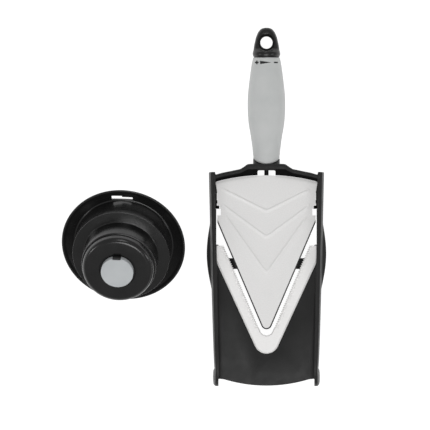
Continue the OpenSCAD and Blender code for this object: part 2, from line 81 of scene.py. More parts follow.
def node_material(name, base, roughness, metallic=0.0):
    """A material cut down to its output and one Principled shader."""
    mat = bpy.data.materials.new(name)
    mat.use_nodes = True
    mat.diffuse_color = (*base, 1)
    tree = mat.node_tree
    tree.nodes.clear()
    out = tree.nodes.new("ShaderNodeOutputMaterial")
    bsdf = tree.nodes.new("ShaderNodeBsdfPrincipled")
    tree.links.new(bsdf.outputs["BSDF"], out.inputs["Surface"])
    bsdf.inputs["Base Color"].default_value = (*base, 1)
    bsdf.inputs["Roughness"].default_value = roughness
    bsdf.inputs["Metallic"].default_value = metallic
    return mat, tree, bsdf


def object_coords(tree, scale=(1, 1, 1)):
    coord = tree.nodes.new("ShaderNodeTexCoord")
    mapping = tree.nodes.new("ShaderNodeMapping")
    mapping.inputs["Scale"].default_value = scale
    tree.links.new(coord.outputs["Object"], mapping.inputs["Vector"])
    return mapping.outputs["Vector"]


def noise(tree, vector, scale, detail=3.0, roughness=0.5):
    node = tree.nodes.new("ShaderNodeTexNoise")
    node.inputs["Scale"].default_value = scale
    node.inputs["Detail"].default_value = detail
    node.inputs["Roughness"].default_value = roughness
    tree.links.new(vector, node.inputs["Vector"])
    return node.outputs["Fac"]


def colour_ramp(tree, fac, stops):
    """Colour ramp of (position, grey or rgb) stops."""
    node = tree.nodes.new("ShaderNodeValToRGB")
    elements = node.color_ramp.elements
    while len(elements) < len(stops):
        elements.new(0.5)
    for element, (pos, value) in zip(elements, stops):
        element.position = pos
        element.color = (*(value if isinstance(value, tuple) else (value,) * 3), 1)
    tree.links.new(fac, node.inputs["Fac"])
    return node.outputs["Color"]


def bump(tree, bsdf, height, strength, distance):
    node = tree.nodes.new("ShaderNodeBump")
    node.inputs["Strength"].default_value = strength
    node.inputs["Distance"].default_value = distance
    tree.links.new(height, node.inputs["Height"])
    tree.links.new(node.outputs["Normal"], bsdf.inputs["Normal"])


def plastic(name, dark, light, rough, grain_scale, grain_depth, coat=0.0, specular=0.4):
    """Moulded plastic: cloudy colour, uneven gloss and a fine moulded grain."""
    mat, tree, bsdf = node_material(name, dark, rough[0])
    vector = object_coords(tree)
    tree.links.new(colour_ramp(tree, noise(tree, vector, 45, 4), [(0.3, dark), (0.7, light)]),
                   bsdf.inputs["Base Color"])
    tree.links.new(colour_ramp(tree, noise(tree, vector, 120, 5), [(0.3, rough[0]), (0.72, rough[1])]),
                   bsdf.inputs["Roughness"])
    bump(tree, bsdf, noise(tree, vector, grain_scale, 2), 0.35, grain_depth)
    bsdf.inputs["Specular IOR Level"].default_value = specular
    bsdf.inputs["Coat Weight"].default_value = coat
    bsdf.inputs["Coat Roughness"].default_value = 0.18
    return mat


def metal(name, dark, light, rough, stretch, streak_scale, metallic=1.0):
    """Metal with fine streaks; a stretch that is the same along each axis leaves them as even cloud."""
    mat, tree, bsdf = node_material(name, light, rough[0], metallic)
    streaks = noise(tree, object_coords(tree, stretch), streak_scale, 5, 0.65)
    tree.links.new(colour_ramp(tree, streaks, [(0.32, dark), (0.66, light)]), bsdf.inputs["Base Color"])
    tree.links.new(colour_ramp(tree, streaks, [(0.3, rough[1]), (0.7, rough[0])]), bsdf.inputs["Roughness"])
    bump(tree, bsdf, streaks, 0.2, STREAK_DEPTH)
    return mat


def grey(value, warm=0.0):
    """Grey of that value, made warmer by a small share."""
    return (value * (1 + warm), value, value * (1 - warm))


# Dark and light colour, range of roughness, scale and depth of the grain, coat, specular level
PLASTICS = {
    "body_black": (grey(0.011), grey(0.016), (0.42, 0.52), 2600, 0.00004, 0, 0.25),
    "inner_black": (grey(0.010), grey(0.015), (0.45, 0.6), 2000, 0.00004),
    # guide_black also colours the crossbar's sheet of painted shade: near black, with almost no specular
    # reflection
    "guide_black": (grey(0.002), grey(0.003), (0.5, 0.65), 2000, 0.00003, 0, 0.06),
    "knob_black": (grey(0.006), grey(0.009), (0.28, 0.38), 3000, 0.00002, 0.1),
    "pusher_black": (grey(0.006), grey(0.009), (0.2, 0.28), 3200, 0.00002, 0.15),
    "button_grey": ((0.46, 0.48, 0.49), (0.5, 0.52, 0.53), (0.42, 0.55), 3000, 0.00002),
    "grip_grey": ((0.52, 0.535, 0.53), (0.57, 0.58, 0.575), (0.5, 0.62), 1500, 0.00006),
    "foot_rubber": (grey(0.26), grey(0.34), (0.65, 0.8), 1800, 0.00005),
    "ring_rubber": (grey(0.008), grey(0.012), (0.6, 0.75), 2500, 0.00003),
    "bush_white": ((0.74, 0.74, 0.70), (0.8, 0.8, 0.76), (0.35, 0.5), 2000, 0.00002),
}
# Dark and light colour, range of roughness, stretch and scale of the streaks, metallic
METALS = {
    "ramp_steel": (grey(0.74, 0.008), grey(0.80, 0.008), (0.48, 0.6), (1, 1, 1), 900, 0.25),
    "blade_steel": (grey(0.80, 0.01), grey(0.88, 0.01), (0.42, 0.54), (1, 14, 1), 260, 0.25),
    "screw_steel": (grey(0.4), grey(0.55), (0.25, 0.4), (1, 1, 6), 700),
    "rod_dark": (grey(0.02), grey(0.05), (0.22, 0.34), (1, 10, 1), 600),
    "nut_brass": ((0.55, 0.38, 0.13), (0.72, 0.54, 0.22), (0.22, 0.36), (1, 8, 1), 500),
}
M = {name: plastic(name, *look) for name, look in PLASTICS.items()}
M.update({name: metal(name, *look) for name, look in METALS.items()})


def maths(tree, operation, *values):
    """Math node on sockets or numbers."""
    node = tree.nodes.new("ShaderNodeMath")
    node.operation = operation
    for socket, value in zip(node.inputs, values):
        if isinstance(value, (int, float)):
            socket.default_value = value
        else:
            tree.links.new(value, socket)
    return node.outputs[0]


def within(tree, value, low, high):
    """1 where the value lies between low and high, else 0."""
    return maths(tree, "MULTIPLY", maths(tree, "GREATER_THAN", value, low),
                 maths(tree, "LESS_THAN", value, high))


# The plus and the minus as x and y ranges, the wedge's x range and slope, all from the middle of the marks
MARKS_Y = 352.0
MARK_RECTS = [(-12.5, -8.5, -0.85, 0.85), (-11.3, -9.7, -2.0, 2.0), (8.1, 12.4, -0.8, 0.8)]
WEDGE_X, WEDGE_POINT, WEDGE_SLOPE = (-7.0, 5.0), 5.4, 0.15


def print_thickness_marks():
    """Prints the plus, the wedge and the minus on top of the grip, in black."""
    tree = M["grip_grey"].node_tree
    bsdf = next(n for n in tree.nodes if n.type == "BSDF_PRINCIPLED")
    coord = tree.nodes.new("ShaderNodeTexCoord")
    parts = tree.nodes.new("ShaderNodeSeparateXYZ")
    tree.links.new(coord.outputs["Object"], parts.inputs["Vector"])
    to_x, to_y = [maths(tree, "MULTIPLY", maths(tree, "SUBTRACT", parts.outputs[axis], start), 1000.0)
                  for axis, start in zip("XY", SLICER.translation)]
    up = maths(tree, "SUBTRACT", to_y, MARKS_Y)
    marks = None
    for x0, x1, y0, y1 in MARK_RECTS:
        box = maths(tree, "MULTIPLY", within(tree, to_x, x0, x1), within(tree, up, y0, y1))
        marks = box if marks is None else maths(tree, "MAXIMUM", marks, box)
    half = maths(tree, "MULTIPLY", maths(tree, "SUBTRACT", WEDGE_POINT, to_x), WEDGE_SLOPE)
    wedge = maths(tree, "MULTIPLY", within(tree, to_x, *WEDGE_X),
                  maths(tree, "LESS_THAN", maths(tree, "ABSOLUTE", up), half))
    marks = maths(tree, "MULTIPLY", maths(tree, "MAXIMUM", marks, wedge),
                  maths(tree, "GREATER_THAN", parts.outputs["Z"], AXIS_Z * MM))
    mix = tree.nodes.new("ShaderNodeMix")
    mix.data_type = "RGBA"
    tree.links.new(marks, mix.inputs["Factor"])
    colours = [s for s in mix.inputs if s.type == "RGBA"]
    tree.links.new(bsdf.inputs["Base Color"].links[0].from_socket, colours[0])
    colours[1].default_value = (0.01, 0.01, 0.01, 1)
    tree.links.new(next(s for s in mix.outputs if s.type == "RGBA"), bsdf.inputs["Base Color"])


print_thickness_marks()

# ---------------------------------------------------------------- mesh helpers


def shade(obj, angle):
    """Smooth shading, with edges sharper than angle left sharp."""
    mesh = obj.data
    mesh.polygons.foreach_set("use_smooth", [True] * len(mesh.polygons))
    mesh.set_sharp_from_angle(angle=math.radians(angle))


def solid(name, shell, place):
    """A closed mesh object in the shared frame, from (vertices, faces)."""
    verts, faces = shell
    mesh = bpy.data.meshes.new(name)
    mesh.from_pydata([place @ Vector(v) for v in verts], [], faces)
    bm = bmesh.new()
    bm.from_mesh(mesh)
    bmesh.ops.remove_doubles(bm, verts=bm.verts, dist=1e-7)
    bmesh.ops.recalc_face_normals(bm, faces=bm.faces)
    bm.to_mesh(mesh)
    bm.free()
    obj = bpy.data.objects.new(name, mesh)
    bpy.context.scene.collection.objects.link(obj)
    return obj


def bake(obj):
    """Applies obj's modifiers to its mesh."""
    graph = bpy.context.evaluated_depsgraph_get()
    mesh = bpy.data.meshes.new_from_object(obj.evaluated_get(graph))
    obj.modifiers.clear()
    old, obj.data = obj.data, mesh
    mesh.name = old.name
    bpy.data.meshes.remove(old)


def cut(obj, shells, place):
    """Takes the shells out of obj."""
    for shell in shells:
        cutter = solid("cutter", shell, place)
        mod = obj.modifiers.new("Cut", "BOOLEAN")
        mod.operation, mod.solver, mod.object = "DIFFERENCE", "EXACT", cutter
        bake(obj)
        bpy.data.objects.remove(cutter)


def bevel(obj, width, segments=3, angle=35):
    """Rounds obj's sharp edges, width in millimetres."""
    mod = obj.modifiers.new("Bevel", "BEVEL")
    mod.width, mod.segments = width * MM, segments
    mod.limit_method, mod.angle_limit = "ANGLE", math.radians(angle)
    mod.harden_normals = False


def join(name, objects):
    """One new object from several, which are removed."""
    bm = bmesh.new()
    for obj in objects:
        bm.from_mesh(obj.data)
    mesh = bpy.data.meshes.new(name)
    bm.to_mesh(mesh)
    bm.free()
    for obj in objects:
        bpy.data.objects.remove(obj)
    joined = bpy.data.objects.new(name, mesh)
    bpy.context.scene.collection.objects.link(joined)
    return joined


def finish_piece(obj, material, body, *nodes, smooth=35):
    """Gives obj its material and slot and its body, and hides the CAD nodes that it stands for."""
    obj.data.materials.clear()
    obj.data.materials.append(M[material])
    shade(obj, smooth)
    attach(obj, body)
    if nodes:
        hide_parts(*nodes)


def loft(rings):
    """Closed shell through rings of equally many points."""
    n = len(rings[0])
    verts = [p for ring in rings for p in ring]
    faces = [(i * n + j, i * n + (j + 1) % n, (i + 1) * n + (j + 1) % n, (i + 1) * n + j)
             for i in range(len(rings) - 1) for j in range(n)]
    return verts, faces + [tuple(range(n)), tuple(range((len(rings) - 1) * n, len(rings) * n))]


def prism(outline, z0, z1):
    """Upright prism of an (x, y) outline."""
    return loft([[(x, y, z) for x, y in outline] for z in (z0, z1)])


def block(x0, x1, y0, y1, z0, z1):
    return prism([(x0, y0), (x1, y0), (x1, y1), (x0, y1)], z0, z1)


def mirrored(shell):
    return [(-x, y, z) for x, y, z in shell[0]], shell[1]


def rounded(points, radii, count=4):
    """Outline with each corner replaced by an arc of its radius; every corner gives count + 1 points."""
    out = []
    for i, (p, r) in enumerate(zip(points, radii)):
        p = Vector(p)
        a, b = Vector(points[i - 1]) - p, Vector(points[(i + 1) % len(points)]) - p
        half = a.angle(b, math.pi) / 2
        if r <= 0 or half > math.radians(88):
            out += [tuple(p)] * (count + 1)
            continue
        reach = min(r / math.tan(half), 0.49 * a.length, 0.49 * b.length)
        r = reach * math.tan(half)
        centre = p + (a.normalized() + b.normalized()).normalized() * r / math.sin(half)
        u, v = p + a.normalized() * reach - centre, p + b.normalized() * reach - centre
        turn = math.atan2(u.x * v.y - u.y * v.x, u.dot(v))
        for k in range(count + 1):
            c, s = math.cos(turn * k / count), math.sin(turn * k / count)
            out.append((centre.x + u.x * c - u.y * s, centre.y + u.x * s + u.y * c))
    return out


def revolve(profile, segments, at):
    """Closed shell of (r, h) points turned through a circle; at(r, angle, h) gives the point."""
    n = len(profile)
    verts = [at(r, TAU * i / segments, h) for i in range(segments) for r, h in profile]
    faces = []
    for i in range(segments):
        here, there = i * n, (i + 1) % segments * n
        for k in range(n):
            up = (k + 1) % n
            if profile[k][0] > 1e-9 or profile[up][0] > 1e-9:
                faces.append((here + k, here + up, there + up, there + k))
    return verts, faces


def about_pusher(r, a, h):
    return (r * math.cos(a), r * math.sin(a), h)


def steps(a, b, n):
    return [a + (b - a) * i / n for i in range(n + 1)]


def smooth_step(t):
    return t * t * (3 - 2 * t)


def linear(table, y):
    """Value at y from a (y, value) table in rising order."""
    for (y0, v0), (y1, v1) in zip(table, table[1:]):
        if y <= y1:
            return v0 + (v1 - v0) * max(0.0, (y - y0) / (y1 - y0))
    return table[-1][1]


def curve(table, y):
    """Smooth value at y from a (y, value) table in rising order."""
    for i in range(len(table) - 1):
        (y0, v0), (y1, v1) = table[i], table[i + 1]
        if y <= y1:
            a, b = table[max(i - 1, 0)], table[min(i + 2, len(table) - 1)]
            m0 = (v1 - a[1]) / (y1 - a[0]) * (y1 - y0)
            m1 = (b[1] - v0) / (b[0] - y0) * (y1 - y0)
            t = max(0.0, (y - y0) / (y1 - y0))
            return ((2 * t**3 - 3 * t**2 + 1) * v0 + (t**3 - 2 * t**2 + t) * m0
                    + (-2 * t**3 + 3 * t**2) * v1 + (t**3 - t**2) * m1)
    return table[-1][1]


# ---------------------------------------------------------------- frame moulding

# Heights, then the V shapes: half angle, where the sides would meet, and radius of the round tip
RAIL_TOP, RAIL_BOTTOM, BLADE_TOP = 36.0, 9.0, 28.0
RAIL_END = 232.0
INNER_HALF, INNER_APEX, INNER_TIP = math.radians(23.1), 43.97, 7.25
OUTER_HALF, OUTER_APEX, OUTER_TIP = math.radians(24.66), 18.7, 12.53
RAMP_APEX, RAMP_TIP = 56.2, 4.5
BLADE_END = 152.9
# How far the blade's inner edge overhangs the opening in the slab below it
LEDGE = 5.06
BULGE_Y, BULGE = (104.5, 178.0), 4.59
BAR_REAR = [(0, 241.8), (14.4, 241.8), (19.8, 241.6), (21.5, 240.8), (24.9, 238.3), (28.5, 236.1),
            (38.1, 234.1), (48.5, 232), (55.8, 229.9), (61, 228.6)]
HORN_TOP = [(0, 23), (1, 25.5), (3, 28.6), (6, 31), (11, 33.4), (17, 35.2), (24, 36)]
HORN_BOTTOM = [(0, 3), (1, 1.4), (3, 0.2), (5, 0), (15, 0), (17, 0.4), (28.5, 8.2), (31, 9)]


def rail_x(y):
    """Outer side of the right rail's wall."""
    return 56.5 + 6 * (max(y - 20, 0) / 212) ** 0.75


def flange_x(y):
    """Outer edge of the right rail's lower flange, which bulges along BULGE_Y."""
    swell = BULGE * math.sin(math.pi * (y - BULGE_Y[0]) / (BULGE_Y[1] - BULGE_Y[0]))
    return rail_x(y) + (swell if BULGE_Y[0] < y < BULGE_Y[1] else 0)


def rail_ring(y, inset=0.0):
    """Section of the right rail: a thick lower flange, a drafted wall and a rounded band on top."""
    flange, wall = flange_x(y), rail_x(y)
    inner = linear([(0, 52.2), (7.8, 52.2), (8, 51), (60, 52.2), (120, 53.4), (150, 54.6), (192.6, 54.6),
                    (193, 57), (232, 57)], y)
    if y < 20:
        flange = wall = linear([(0, 55.8), (1, 56.4), (2, 56.5), (20, 56.5)], y)
    top = min(linear(HORN_TOP, y), RAIL_TOP) - inset
    low = linear(HORN_BOTTOM, y) + inset
    flange, wall, inner = flange - inset, wall - inset, inner + inset
    swell = flange - wall
    shelf = low + (20.5 - RAIL_BOTTOM) * (top - low) / (RAIL_TOP - RAIL_BOTTOM)
    # the band on top is narrower than the wall below it, so that the wall's draft shows from above
    lip = wall - linear([(0, 0.6), (20, 1.2), (100, 1.6), (150, 2.0), (232, 1.9)], y)
    points = [(inner, low), (flange, low), (flange, shelf - 2), (wall + 0.2 + swell * 0.15, shelf),
              (lip, top), (inner, top)]
    return [(x, y, z) for x, z in rounded(points, [0.5, 1.2, 1.6, 1.0, 1.5, 0.9], 4)]


def rail():
    ys = [0, 0.5, 1, 2, 3, 4, 5, 6, 7.7, 8, 11, 14, 15, 17, 19] + steps(20, 31, 6) + steps(33, 192.5, 80)
    ys += [193.1] + steps(195, RAIL_END + 0.2, 18)
    rings = [rail_ring(0.0, 0.9)] + [rail_ring(y) for y in ys]
    rings.append([(x, y + 0.5, z) for x, y, z in rail_ring(RAIL_END, 0.4)])
    rings.append([(x, y + 0.8, z) for x, y, z in rail_ring(RAIL_END, 1.0)])
    return loft([[(x, max(y, 0.0), z) for x, y, z in ring] for ring in rings])


def v_outline(half, apex, tip, top, grow=0.0, count=24):
    """Outline of a V with a round tip, from its right end down to the tip and up to its left end."""
    apex -= grow / math.sin(half)
    tip += grow
    centre, w = apex + tip / math.sin(half), (top - apex) * math.tan(half)
    arc = [-half - t * (math.pi - 2 * half) / count for t in range(count + 1)]
    return [(w, top)] + [(tip * math.cos(a), centre + tip * math.sin(a)) for a in arc] + [(-w, top)]


PLATE_BOW_R = 157.8


def plate_outline(half, apex, tip, grow, wide, end):
    """Outfeed plate: a bowed lower edge, and a V opening in its upper edge, clipped to a half width."""
    arc = [(x, 0.5 + PLATE_BOW_R - math.sqrt(PLATE_BOW_R * PLATE_BOW_R - x * x)) for x in steps(-46, 46, 46)]
    opening = v_outline(half, apex, tip, end, grow)
    if opening[0][0] > wide:
        end = apex - grow / math.sin(half) + wide / math.tan(half)
        opening = v_outline(half, apex, tip, end, grow)
    side = [(51.6, 8.0), (52.7, 60), (54.0, 120), (55.0, end)]
    return arc + side + opening + [(-x, y) for x, y in reversed(side)]


# How much lower the crossbar is at the neck, and how far its front slope drops
BAR_DIP, BAR_SLOPE = 3.4, 3.4


def bar_front(x):
    return 229.6 - x * x / 420


def bar_measures(x):
    """Front and rear edge of the crossbar, its top height and the width of its top band."""
    front, rear = bar_front(x), linear(BAR_REAR, abs(x))
    top = RAIL_TOP - 0.5 - BAR_DIP * max(0.0, 1 - abs(x) / 30) ** 1.5
    return front, rear, top, max(1.6, min(3.4, (rear - front) * 0.45))


def bar_ring(x):
    """Section of the crossbar: a slope in front, and a rounded band behind it."""
    front, rear, top, band = bar_measures(x)
    points = [(front, 28.3), (rear, 28.3), (rear, top - 1.6), (rear - 1.0, top), (rear - band, top),
              (front + 0.3, top - BAR_SLOPE)]
    return [(x, y, z) for y, z in rounded(points, [0.4, 0.3, 1.2, 1.2, 1.6, 0.9], 4)]


def bar_strip_ring(x):
    """Section of the near-black sheet of painted shade let into the front slope of the crossbar, where the slope
    lies in shadow.
    """
    front, rear, top, band = bar_measures(x)
    reach = 0.75 * (rear - band - front)
    rise = BAR_SLOPE * reach / max(rear - band - front - 0.3, 0.5)
    points = [(front - 0.05, 28.4), (front + reach, 28.4), (front + reach, top - BAR_SLOPE + rise + 0.1),
              (front - 0.05, top - 3.25)]
    return [(x, y, z) for y, z in rounded(points, [0.3, 0, 0.3, 0.6], 3)]


REAR_WALL = [(0, 238.8), (20, 238.8), (27.7, 236.2), (48.5, 232), (55.8, 229.4), (60, 228.6)]
REAR_WALL_T = 2.3


def rear_wall_ring(x):
    """Section of the wall under the rear edge of the crossbar."""
    rear = linear(REAR_WALL, abs(x))
    points = [(rear - REAR_WALL_T, 9), (rear, 9), (rear, 29), (rear - REAR_WALL_T, 29)]
    return [(x, y, z) for y, z in rounded(points, [0.8, 0.8, 0, 0], 3)]


NECK_Y, SEAM_Y, SEAM_R, SEAM_Z = 248.0, 241.4, 20.0, 11.3


def seam(x, z, shift=0.0):
    """Station of the joint between the neck and the grip: bowed above, straight below."""
    if z < SEAM_Z:
        return NECK_Y + shift
    return SEAM_Y + SEAM_R - math.sqrt(max(SEAM_R**2 - x * x, 0)) + shift


def round_section(half_w, half_t, power=2.0, count=96):
    """(x, z) points of a superellipse about the rod's axis."""
    out = []
    for i in range(count):
        c, s = math.cos(TAU * i / count), math.sin(TAU * i / count)
        out.append((half_w * math.copysign(abs(c) ** (2 / power), c),
                    AXIS_Z + half_t * math.copysign(abs(s) ** (2 / power), s)))
    return out


def neck():
    """Collar that the grip plugs into, flared where it grows out of the crossbar."""
    rings = [[(x, 237.2, z) for x, z in round_section(14.4, 13.6)]]
    rings += [[(x, y, z) for x, z in round_section(w, t)] for y, w, t in
              [(237.6, 14.9, 14.3), (239, 14.7, 14.5), (240.4, 14.5, 14.5)]]
    for t, inset in [(0.35, 0), (0.7, 0), (0.93, 0), (0.98, 0.08), (1, 0.35)]:
        section = round_section(14.5 - inset, 14.5 - inset)
        rings.append([(x, 240.4 + (seam(x, z) - 240.4) * t, z) for x, z in section])
    for y in (0, -1):
        section = round_section(11.05, 11.05)
        rings.append([(x, seam(x, z) + y, z) for x, z in section])
    return loft(rings)


def window_outline():
    """Opening in the crossbar that shows the rod between two windows."""
    return rounded([(-9.7, 215), (9.7, 215), (9.7, 234.6), (-9.7, 234.6)], [0, 0, 1.6, 1.6], 5)


# Outfeed plate: half width, heights of the slab under the blade, and start of the slab beside it
PLATE_HALF_W, UNDER_BLADE_Z, BESIDE_BLADE_LOW = 54.6, (24, 26), 25.9
BLADE_GAP = 1.1
STRUT = (-55, 55, 127.3, 139.1, 9, 13)
RIB_Z = (18, 24.1)
# Ledge along the end of the right rail, and block in the corner at its end
CORNER_BLOCKS = [(55.3, 58, 193, 231, 29, 35.3), (55.8, 60, 226, 232.9, 29, 35.9)]
# Heights that pass through everything in the slicer
THROUGH = (0, 60)


def build_frame():
    """Outfeed plate, strut, ribs, crossbar, rails and neck in one moulding, and the crossbar's near-black sheet of
    painted shade.
    """
    under = plate_outline(INNER_HALF, INNER_APEX, INNER_TIP, LEDGE, PLATE_HALF_W, BLADE_END + 1)
    beside = plate_outline(OUTER_HALF, OUTER_APEX, OUTER_TIP, BLADE_GAP, PLATE_HALF_W, BLADE_END)
    bar = solid("bar", loft([bar_ring(x) for x in steps(-60.6, 60.6, 96)]), SLICER)
    cut(bar, [prism(window_outline(), *THROUGH)], SLICER)
    wall = solid("wall", loft([rear_wall_ring(x) for x in steps(-57, 57, 76)]), SLICER)
    edged = [prism(under, *UNDER_BLADE_Z), prism(beside, BESIDE_BLADE_LOW, BLADE_TOP), block(*STRUT)]
    edged += [block(-52, 52, y, y + 2, *RIB_Z) for y in (14, 30)]
    edged += [block(x, x + 2, 14, 30, *RIB_Z) for x in (24, -26)]
    for corner in CORNER_BLOCKS:
        edged += [block(*corner), mirrored(block(*corner))]
    parts = [bar] + [solid("slab", shell, SLICER) for shell in edged]
    for part in parts:
        bevel(part, 0.35, 2)
        bake(part)
    smooth_parts = [rail(), mirrored(rail()), neck()]
    parts += [wall] + [solid("run", shell, SLICER) for shell in smooth_parts]
    finish_piece(join("frame_moulding", parts), "body_black", "frame", "frame", smooth=38)
    # Painted shade: a near-black sheet on each side of the crossbar's front slope, where that slope lies in shadow
    strip = loft([bar_strip_ring(x) for x in steps(9.8, 55.9, 40)])
    sides = [solid("strip", strip, SLICER), solid("strip", mirrored(strip), SLICER)]
    finish_piece(join("bar_front_strip", sides), "guide_black", "frame", smooth=38)


# ---------------------------------------------------------------- blade and ramp

BLADE_T, BLADE_HALF_W = 1.2, 54.4
TOOTH_PITCH, TOOTH_DEPTH = 2.3, 1.0
# Sections cut for each tooth, and round half of the tip
TOOTH_SECTIONS, TIP_SECTIONS = 6, 24
# Ramp: top, thickness, half width below and at its end, and place and radius of the end's bow
RAMP_Z, RAMP_T, RAMP_SIDE, RAMP_END_SIDE = 27.7, 1.2, 53.5, 55.6
RAMP_END, RAMP_END_R = 229.2, 202
RIDGE_H = 0.5


def blade():
    """V blade: flutes ground into its inner edge, each ending in a small gullet."""
    length = (BLADE_END - 62) / math.cos(INNER_HALF)
    teeth = round(length / TOOTH_PITCH)
    centre_in = INNER_APEX + INNER_TIP / math.sin(INNER_HALF)
    centre_out = OUTER_APEX + OUTER_TIP / math.sin(OUTER_HALF)
    stations = []
    for i in range(teeth * TOOTH_SECTIONS + 1):
        t = i / (teeth * TOOTH_SECTIONS)
        y = BLADE_END + (centre_in - INNER_TIP * math.sin(INNER_HALF) - BLADE_END) * t
        p = Vector(((y - INNER_APEX) * math.tan(INNER_HALF), y))
        turn = INNER_HALF * min(1, t / 0.12)
        side = Vector((math.cos(turn), -math.sin(turn)))
        reach = ((y - OUTER_APEX) * math.tan(OUTER_HALF) - p.x) / (side.x - side.y * math.tan(OUTER_HALF))
        q = p + side * min(reach, (BLADE_HALF_W - p.x) / side.x)
        wave = (0.5 - 0.5 * math.cos(TAU * i / TOOTH_SECTIONS)) if t < 0.96 else 0.0
        stations.append((p, q, side, wave))
    # round the tip, the outer ends run down the rest of the outer side and round its tip
    tip_start = Vector((OUTER_TIP * math.cos(OUTER_HALF), centre_out - OUTER_TIP * math.sin(OUTER_HALF)))
    start = stations[-1][1]
    straight, bow = (tip_start - start).length, OUTER_TIP * (math.pi / 2 - OUTER_HALF)
    for i in range(1, TIP_SECTIONS):
        a = INNER_HALF + (math.pi / 2 - INNER_HALF) * i / TIP_SECTIONS
        p = Vector((INNER_TIP * math.cos(a), centre_in - INNER_TIP * math.sin(a)))
        run = (straight + bow) * i / TIP_SECTIONS
        if run < straight:
            q = start.lerp(tip_start, run / straight)
        else:
            b = OUTER_HALF + (run - straight) / OUTER_TIP
            q = Vector((OUTER_TIP * math.cos(b), centre_out - OUTER_TIP * math.sin(b)))
        stations.append((p, q, (q - p).normalized(), 0.0))
    left = [(Vector((-p.x, p.y)), Vector((-q.x, q.y)), Vector((-s.x, s.y)), w) for p, q, s, w in stations]
    middle = (Vector((0, centre_in - INNER_TIP)), Vector((0, centre_out - OUTER_TIP)), Vector((0, -1)), 0.0)
    rings = []
    low, top = BLADE_TOP - BLADE_T, BLADE_TOP
    for p, q, side, wave in stations + [middle] + left[::-1]:
        edge = p + side * TOOTH_DEPTH * wave
        width = min((q - p).length * 0.8, 1.1 + 4.2 * wave)
        near, flute = p + side * (0.5 + 1.2 * wave), p + side * width
        back = q + (p - q).normalized() * 0.35
        rings.append([(edge.x, edge.y, low), (edge.x, edge.y, low + 0.25), (near.x, near.y, low + 0.62),
                      (flute.x, flute.y, top), (back.x, back.y, top), (q.x, q.y, top - 0.3), (q.x, q.y, low)])
    return loft(rings)


# Each chevron: x of its ends, y of its tip and y of its ends
CHEVRONS = [(44.6, 122.5, 185.5), (48.5, 162.0, 198.0), (47.5, 190.5, 214.5)]


def ramp_low(x):
    """Lower edge of the ramp at x: the round tip, then the V's side."""
    centre = RAMP_APEX + RAMP_TIP / math.sin(INNER_HALF)
    if abs(x) < RAMP_TIP * math.cos(INNER_HALF):
        return centre - math.sqrt(RAMP_TIP**2 - x * x)
    return RAMP_APEX + abs(x) / math.tan(INNER_HALF)


def ramp_plate():
    """Infeed ramp with its pressed chevrons: each is a low ridge, steeper on its upper side."""
    xs = [RAMP_SIDE * math.copysign(abs(u) ** 0.95, u) for u in steps(-1, 1, 132)]
    offsets = [-4, -3, -2.2, -1.5, -0.9, -0.4, 0, 0.3, 0.6, 0.9, 1.3, 1.9, 2.6]
    columns = []
    for x in xs:
        ends = [ramp_low(x)]
        for end_x, y0, y1 in CHEVRONS:
            line = y0 + (y1 - y0) * math.sqrt(x * x + 4) / end_x
            gap = max(line - ends[-1], 0.5)
            squeeze = min(1.0, gap / 9)
            for d in offsets:
                ends.append(line + d * squeeze)
            ends.append(ends[-1] + 0.01)
        top_y = RAMP_END - RAMP_END_R + math.sqrt(RAMP_END_R**2 - x * x)
        ends.append(top_y)
        ys = [ends[0]]
        for y in ends[1:]:
            ys.append(max(y, ys[-1] + 0.02))
        fine = []
        for y0, y1 in zip(ys, ys[1:]):
            fine += steps(y0, y1, 3)[:-1]
        fine.append(ys[-1])
        columns.append([(x, min(y, top_y)) for y in fine])
    top, low = [], []
    spread = RAMP_END_SIDE / RAMP_SIDE
    for column in columns:
        for x, y in column:
            wide = x * linear([(0, 1), (210, 1), (222.6, spread), (240, spread)], y)
            z = 0.0
            for end_x, y0, y1 in CHEVRONS:
                slope = (y1 - y0) / end_x
                d = (y - (y0 + slope * math.sqrt(x * x + 4))) / math.sqrt(1 + slope * slope)
                fade = smooth_step(max(0.0, min(1.0, (end_x - abs(x)) / 5)))
                z += RIDGE_H * fade * math.exp(-(d / (2.0 if d < 0 else 1.0)) ** 2)
            top.append((wide, y, RAMP_Z + min(z, RIDGE_H)))
            low.append((wide, y, RAMP_Z - RAMP_T))
    n, m = len(columns), len(columns[0])
    faces = []
    for i in range(n - 1):
        for j in range(m - 1):
            a, b, c, d = i * m + j, (i + 1) * m + j, (i + 1) * m + j + 1, i * m + j + 1
            faces.append((a, b, c, d))
            faces.append((n * m + d, n * m + c, n * m + b, n * m + a))
    border = [i * m for i in range(n)] + [(n - 1) * m + j for j in range(1, m)]
    border += [i * m + m - 1 for i in range(n - 2, -1, -1)] + [j for j in range(m - 2, 0, -1)]
    for a, b in zip(border, border[1:] + border[:1]):
        faces.append((b, a, n * m + a, n * m + b))
    return top + low, faces


# Notch in the side of the ramp, with a step that clears the guide's nub
NOTCH = [(49.8, 185.8), (60, 185.8), (60, 196.7), (51.1, 196.7), (51.1, 192.8), (49.8, 192.8)]


def build_blade_and_ramp():
    finish_piece(solid("fluted_blade", blade(), SLICER), "blade_steel", "frame", "v_blade", smooth=4)
    ramp = solid("pressed_ramp", ramp_plate(), SLICER)
    notch = prism(NOTCH, *THROUGH)
    cut(ramp, [notch, mirrored(notch)], SLICER)
    finish_piece(ramp, "ramp_steel", "ramp", "ramp_plate", smooth=40)


# ---------------------------------------------------------------- grip and knob

GRIP = [(250, 14.3), (261.5, 15.6), (272.7, 17.2), (284, 19.2), (295, 20.2), (306, 20.5), (318, 20.1),
        (330.3, 18.8), (349.8, 16.2), (356.5, 14.8)]
BELLY = 15.25


def grip_section(w):
    """Round section that is wider than tall where its half width is more than BELLY."""
    over = max(0.0, w - BELLY)
    return round_section(w, min(w, BELLY), 2 + 0.09 * over)


